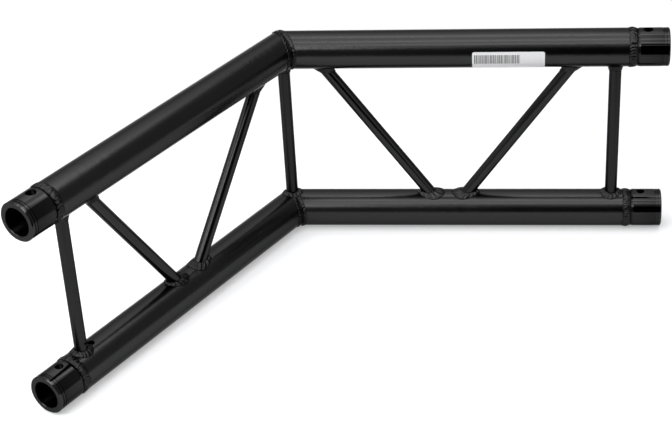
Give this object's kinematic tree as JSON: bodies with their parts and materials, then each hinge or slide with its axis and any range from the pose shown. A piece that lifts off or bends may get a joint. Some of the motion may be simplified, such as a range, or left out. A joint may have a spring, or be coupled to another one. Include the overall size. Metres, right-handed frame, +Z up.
{
  "type": "lighting truss corner section",
  "caption": "Black ladder-type lighting truss corner: two legs at an obtuse angle, tubular chords with conical socket ends and pin holes, and welded strut and diagonal braces.",
  "frame": {"origin": "on the ground, at the centre of the plan outline", "axes": "+Z up, corner of the truss towards +Y, legs running to -Y on the -X (left) and +X (right) side"},
  "size_m": [0.8898, 0.3004, 0.2928],
  "materials": {
    "coated_chord": "satin",
    "coated_brace": "satin",
    "coated_receiver": "gloss",
    "coated_weld": "satin",
    "label_film": "satin"
  },
  "bodies": {
    "root": {"upper_left_chord": "coated_chord", "upper_right_chord": "coated_chord", "lower_left_chord": "coated_chord", "lower_right_chord": "coated_chord", "upper_left_receiver": "coated_receiver", "upper_right_receiver": "coated_receiver", "lower_left_receiver": "coated_receiver", "lower_right_receiver": "coated_receiver", "left_end_strut": "coated_brace", "corner_strut": "coated_brace", "right_end_strut": "coated_brace", "left_inner_diagonal": "coated_brace", "left_outer_diagonal": "coated_brace", "right_inner_diagonal": "coated_brace", "right_outer_diagonal": "coated_brace", "upper_left_receiver_weld": "coated_weld", "upper_right_receiver_weld": "coated_weld", "lower_left_receiver_weld": "coated_weld", "lower_right_receiver_weld": "coated_weld", "upper_mitre_weld": "coated_weld", "lower_mitre_weld": "coated_weld", "left_end_strut_upper_weld": "coated_weld", "left_end_strut_lower_weld": "coated_weld", "corner_strut_upper_weld": "coated_weld", "corner_strut_lower_weld": "coated_weld", "right_end_strut_upper_weld": "coated_weld", "right_end_strut_lower_weld": "coated_weld", "left_inner_diagonal_upper_weld": "coated_weld", "left_inner_diagonal_lower_weld": "coated_weld", "left_outer_diagonal_upper_weld": "coated_weld", "left_outer_diagonal_lower_weld": "coated_weld", "right_inner_diagonal_upper_weld": "coated_weld", "right_inner_diagonal_lower_weld": "coated_weld", "right_outer_diagonal_upper_weld": "coated_weld", "right_outer_diagonal_lower_weld": "coated_weld", "identification_label": "label_film"}
  },
  "joints": []
}
